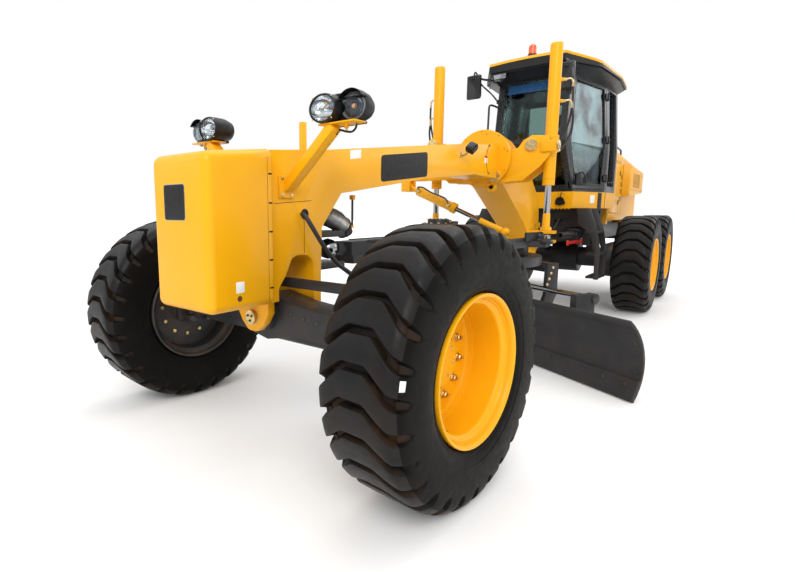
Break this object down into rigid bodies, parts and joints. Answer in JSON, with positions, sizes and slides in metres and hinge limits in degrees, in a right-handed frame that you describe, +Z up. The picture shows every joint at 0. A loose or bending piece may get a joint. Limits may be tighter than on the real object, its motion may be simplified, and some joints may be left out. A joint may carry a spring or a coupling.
{
  "type": "motor grader",
  "caption": "Articulated motor grader: leaning-wheel front axle, arched frame, drawbar with turning circle and curved moldboard, glazed cab, hood and tandem drive wheels.",
  "frame": {"origin": "on the ground, on the machine's centreline, directly below the front axle", "axes": "+X forward, +Y to the machine's left, +Z up"},
  "size_m": [9.12, 3.5439, 3.3308],
  "materials": {
    "yellow_paint": "gloss",
    "charcoal_paint": "semi-gloss",
    "cab_grey": "satin",
    "tyre_rubber": "matte",
    "chrome_rod": "polished",
    "window_glass": "clear, slightly green",
    "seat_fabric": "woven",
    "engine_iron": "plain",
    "lamp_black": "gloss"
  },
  "bodies": {
    "rear_frame": {"rear_frame": "charcoal_paint", "rear_axle": "charcoal_paint", "hood": "yellow_paint", "engine_block": "engine_iron", "cab_frame": "cab_grey", "cab_base": "yellow_paint", "cab_roof": "yellow_paint", "glass_front": "window_glass", "glass_rear": "window_glass", "seat": "seat_fabric"},
    "steering_wheel": {"steering_wheel": "cab_grey"},
    "hood_door_left": {"hood_door_left": "yellow_paint"},
    "hood_door_right": {"hood_door_right": "yellow_paint"},
    "cab_door_left": {"cab_door_left": "cab_grey", "door_glass_left": "window_glass"},
    "cab_door_right": {"cab_door_right": "cab_grey", "door_glass_right": "window_glass"},
    "tandem_left": {"tandem_left": "charcoal_paint"},
    "wheel_middle_left": {"tyre_middle_left": "tyre_rubber", "rim_middle_left": "yellow_paint"},
    "wheel_rear_left": {"tyre_rear_left": "tyre_rubber", "rim_rear_left": "yellow_paint"},
    "tandem_right": {"tandem_right": "charcoal_paint"},
    "wheel_middle_right": {"tyre_middle_right": "tyre_rubber", "rim_middle_right": "yellow_paint"},
    "wheel_rear_right": {"tyre_rear_right": "tyre_rubber", "rim_rear_right": "yellow_paint"},
    "front_frame": {"front_frame": "yellow_paint", "front_block": "yellow_paint", "saddle": "yellow_paint", "lamp_left": "lamp_black", "lamp_right": "lamp_black"},
    "front_axle": {"front_axle": "charcoal_paint"},
    "lean_bracket_left": {"lean_bracket_left": "charcoal_paint"},
    "knuckle_left": {"knuckle_left": "charcoal_paint"},
    "wheel_front_left": {"tyre_front_left": "tyre_rubber", "rim_front_left": "yellow_paint"},
    "lean_bracket_right": {"lean_bracket_right": "charcoal_paint"},
    "knuckle_right": {"knuckle_right": "charcoal_paint"},
    "wheel_front_right": {"tyre_front_right": "tyre_rubber", "rim_front_right": "yellow_paint"},
    "lean_bar": {"lean_bar": "charcoal_paint"},
    "tie_rod": {"tie_rod": "chrome_rod"},
    "drawbar_ball": {"drawbar_ball": "chrome_rod"},
    "drawbar": {"drawbar": "charcoal_paint"},
    "circle": {"circle": "charcoal_paint"},
    "blade_carrier": {"blade_carrier": "charcoal_paint"},
    "moldboard": {"moldboard": "charcoal_paint"},
    "tilt_barrel": {"tilt_barrel": "charcoal_paint"},
    "tilt_rod": {"tilt_rod": "chrome_rod"},
    "lift_barrel_left": {"lift_barrel_left": "yellow_paint"},
    "lift_rod_left": {"lift_rod_left": "chrome_rod"},
    "lift_barrel_right": {"lift_barrel_right": "yellow_paint"},
    "lift_rod_right": {"lift_rod_right": "chrome_rod"},
    "side_shift_barrel": {"side_shift_barrel": "charcoal_paint"},
    "side_shift_rod": {"side_shift_rod": "chrome_rod"},
    "artic_barrel_left": {"artic_barrel_left": "charcoal_paint"},
    "artic_rod_left": {"artic_rod_left": "chrome_rod"},
    "artic_barrel_right": {"artic_barrel_right": "charcoal_paint"},
    "artic_rod_right": {"artic_rod_right": "chrome_rod"}
  },
  "joints": [
    {"name": "articulation", "type": "hinge", "parent": "rear_frame", "child": "front_frame", "pos_m": [-4.55, 0, 1.05], "axis": [0, 0, 1], "range_deg": [-27, 27]},
    {"name": "axle_oscillation", "type": "hinge", "parent": "front_frame", "child": "front_axle", "pos_m": [0, 0, 0.755], "axis": [1, 0, 0], "range_deg": [-15, 15]},
    {"name": "wheel_lean_left", "type": "hinge", "parent": "front_axle", "child": "lean_bracket_left", "pos_m": [0, 0.78, 0.7], "axis": [1, 0, 0], "range_deg": [-17, 17]},
    {"name": "wheel_lean_right", "type": "hinge", "parent": "front_axle", "child": "lean_bracket_right", "pos_m": [0, -0.78, 0.7], "axis": [1, 0, 0], "range_deg": [-17, 17]},
    {"name": "steering_left", "type": "hinge", "parent": "lean_bracket_left", "child": "knuckle_left", "pos_m": [0, 0.93, 0.65], "axis": [0, 0, 1], "range_deg": [-45.5, 54.5]},
    {"name": "steering_right", "type": "hinge", "parent": "lean_bracket_right", "child": "knuckle_right", "pos_m": [0, -0.93, 0.65], "axis": [0, 0, 1], "range_deg": [-45.5, 54.5]},
    {"name": "lean_bar_slide", "type": "slide", "parent": "front_axle", "child": "lean_bar", "axis": [0, 1, 0], "range_m": [-0.075, 0.075]},
    {"name": "tie_rod_slide", "type": "slide", "parent": "front_axle", "child": "tie_rod", "axis": [0, 1, 0], "range_m": [-0.2, 0.17]},
    {"name": "front_wheel_left", "type": "hinge", "parent": "knuckle_left", "child": "wheel_front_left", "pos_m": [0.01169, 1.07854, 0.65], "axis": [0.0785, 0.9969, 0], "continuous": true},
    {"name": "front_wheel_right", "type": "hinge", "parent": "knuckle_right", "child": "wheel_front_right", "pos_m": [-0.01169, -1.07854, 0.65], "axis": [0.0785, 0.9969, 0], "continuous": true},
    {"name": "tandem_left_oscillation", "type": "hinge", "parent": "rear_frame", "child": "tandem_left", "pos_m": [-6.46, 0.7, 0.65], "axis": [0, 1, 0], "range_deg": [-15, 15]},
    {"name": "middle_wheel_left", "type": "hinge", "parent": "tandem_left", "child": "wheel_middle_left", "pos_m": [-5.695, 1.079, 0.65], "axis": [0, 1, 0], "continuous": true},
    {"name": "rear_wheel_left", "type": "hinge", "parent": "tandem_left", "child": "wheel_rear_left", "pos_m": [-7.225, 1.079, 0.65], "axis": [0, 1, 0], "continuous": true},
    {"name": "tandem_right_oscillation", "type": "hinge", "parent": "rear_frame", "child": "tandem_right", "pos_m": [-6.46, -0.7, 0.65], "axis": [0, 1, 0], "range_deg": [-15, 15]},
    {"name": "middle_wheel_right", "type": "hinge", "parent": "tandem_right", "child": "wheel_middle_right", "pos_m": [-5.695, -1.079, 0.65], "axis": [0, 1, 0], "continuous": true},
    {"name": "rear_wheel_right", "type": "hinge", "parent": "tandem_right", "child": "wheel_rear_right", "pos_m": [-7.225, -1.079, 0.65], "axis": [0, 1, 0], "continuous": true},
    {"name": "cab_door_left_hinge", "type": "hinge", "parent": "rear_frame", "child": "cab_door_left", "pos_m": [-5.445, 0.674, 2.3], "axis": [0, 0, 1], "range_deg": [0, 85]},
    {"name": "cab_door_right_hinge", "type": "hinge", "parent": "rear_frame", "child": "cab_door_right", "pos_m": [-5.445, -0.674, 2.3], "axis": [0, 0, -1], "range_deg": [0, 85]},
    {"name": "hood_door_left_hinge", "type": "hinge", "parent": "rear_frame", "child": "hood_door_left", "pos_m": [-6.152, 0.606, 1.7], "axis": [0, 0, -1], "range_deg": [0, 80]},
    {"name": "hood_door_right_hinge", "type": "hinge", "parent": "rear_frame", "child": "hood_door_right", "pos_m": [-6.152, -0.606, 1.7], "axis": [0, 0, 1], "range_deg": [0, 80]},
    {"name": "steering_wheel_turn", "type": "hinge", "parent": "rear_frame", "child": "steering_wheel", "pos_m": [-4.83, 0, 2.23], "axis": [-0.5, 0, 0.866], "continuous": true},
    {"name": "drawbar_swing", "type": "hinge", "parent": "front_frame", "child": "drawbar_ball", "pos_m": [-0.43, 0, 1.11], "axis": [0, 0, 1], "range_deg": [-8, 8]},
    {"name": "drawbar_lift", "type": "hinge", "parent": "drawbar_ball", "child": "drawbar", "pos_m": [-0.43, 0, 1.11], "axis": [0, 1, 0], "range_deg": [-12.4, 8.5]},
    {"name": "circle_turn", "type": "hinge", "parent": "drawbar", "child": "circle", "pos_m": [-2.65, 0, 0.9], "axis": [0, 0, 1], "continuous": true},
    {"name": "blade_tilt", "type": "hinge", "parent": "circle", "child": "blade_carrier", "pos_m": [-2.96364, 0.17673, 0.22], "axis": [0.4909, 0.8712, 0], "range_deg": [-10, 22]},
    {"name": "blade_side_shift", "type": "slide", "parent": "blade_carrier", "child": "moldboard", "axis": [0.4909, 0.8712, 0], "range_m": [-0.65, 0.65]},
    {"name": "tilt_barrel_pivot", "type": "hinge", "parent": "circle", "child": "tilt_barrel", "pos_m": [-3.19015, 0.30436, 0.7], "axis": [0.4909, 0.8712, 0], "range_deg": [-16, 8]},
    {"name": "tilt_rod_slide", "type": "slide", "parent": "tilt_barrel", "child": "tilt_rod", "axis": [0.4799, -0.2704, -0.8346], "range_m": [-0.02, 0.035]},
    {"name": "lift_barrel_left_swing", "type": "hinge", "parent": "front_frame", "child": "lift_barrel_left", "pos_m": [-3.1, 0.56, 2.04], "axis": [1, 0, 0], "range_deg": [-24, 24]},
    {"name": "lift_rod_left_slide", "type": "slide", "parent": "lift_barrel_left", "child": "lift_rod_left", "axis": [0, 0, 1], "range_m": [-0.6, 0.41]},
    {"name": "lift_barrel_right_swing", "type": "hinge", "parent": "front_frame", "child": "lift_barrel_right", "pos_m": [-3.1, -0.56, 2.04], "axis": [1, 0, 0], "range_deg": [-24, 24]},
    {"name": "lift_rod_right_slide", "type": "slide", "parent": "lift_barrel_right", "child": "lift_rod_right", "axis": [0, 0, 1], "range_m": [-0.6, 0.41]},
    {"name": "side_shift_barrel_pivot", "type": "hinge", "parent": "front_frame", "child": "side_shift_barrel", "pos_m": [-2.7, -0.745, 1.63], "axis": [1, 0, 0], "range_deg": [-28, 20]},
    {"name": "side_shift_rod_slide", "type": "slide", "parent": "side_shift_barrel", "child": "side_shift_rod", "axis": [-0.1293, 0.9011, -0.4139], "range_m": [-0.14, 0.2]},
    {"name": "artic_barrel_left_pivot", "type": "hinge", "parent": "rear_frame", "child": "artic_barrel_left", "pos_m": [-5.06, 0.42, 1.058], "axis": [0, 0, 1], "range_deg": [-13, 13]},
    {"name": "artic_rod_left_slide", "type": "slide", "parent": "artic_barrel_left", "child": "artic_rod_left", "axis": [0.9982, -0.0599, 0], "range_m": [-0.19, 0.19]},
    {"name": "artic_barrel_right_pivot", "type": "hinge", "parent": "rear_frame", "child": "artic_barrel_right", "pos_m": [-5.06, -0.42, 1.058], "axis": [0, 0, 1], "range_deg": [-13, 13]},
    {"name": "artic_rod_right_slide", "type": "slide", "parent": "artic_barrel_right", "child": "artic_rod_right", "axis": [0.9982, 0.0599, 0], "range_m": [-0.19, 0.19]}
  ],
  "couplings": [
    {"joint": "wheel_lean_right", "follows": "wheel_lean_left", "ratio": 1},
    {"joint": "steering_right", "follows": "steering_left", "ratio": 1},
    {"joint": "lean_bar_slide", "follows": "wheel_lean_left", "m_per_rad": -0.245},
    {"joint": "tie_rod_slide", "follows": "steering_left", "m_per_rad": -0.2},
    {"joint": "tilt_barrel_pivot", "follows": "blade_tilt", "ratio": -0.7},
    {"joint": "tilt_rod_slide", "follows": "blade_tilt", "m_per_rad": 0.08},
    {"joint": "lift_barrel_left_swing", "follows": "drawbar_swing", "ratio": -2.87},
    {"joint": "lift_rod_left_slide", "follows": "drawbar_lift", "m_per_rad": 2.67},
    {"joint": "lift_barrel_right_swing", "follows": "drawbar_swing", "ratio": -2.87},
    {"joint": "lift_rod_right_slide", "follows": "drawbar_lift", "m_per_rad": 2.67},
    {"joint": "side_shift_barrel_pivot", "follows": "drawbar_lift", "ratio": 2},
    {"joint": "side_shift_rod_slide", "follows": "drawbar_lift", "m_per_rad": -0.8},
    {"joint": "artic_barrel_left_pivot", "follows": "articulation", "ratio": 0.465},
    {"joint": "artic_rod_left_slide", "follows": "articulation", "m_per_rad": -0.385},
    {"joint": "artic_barrel_right_pivot", "follows": "articulation", "ratio": 0.465},
    {"joint": "artic_rod_right_slide", "follows": "articulation", "m_per_rad": 0.385}
  ]
}
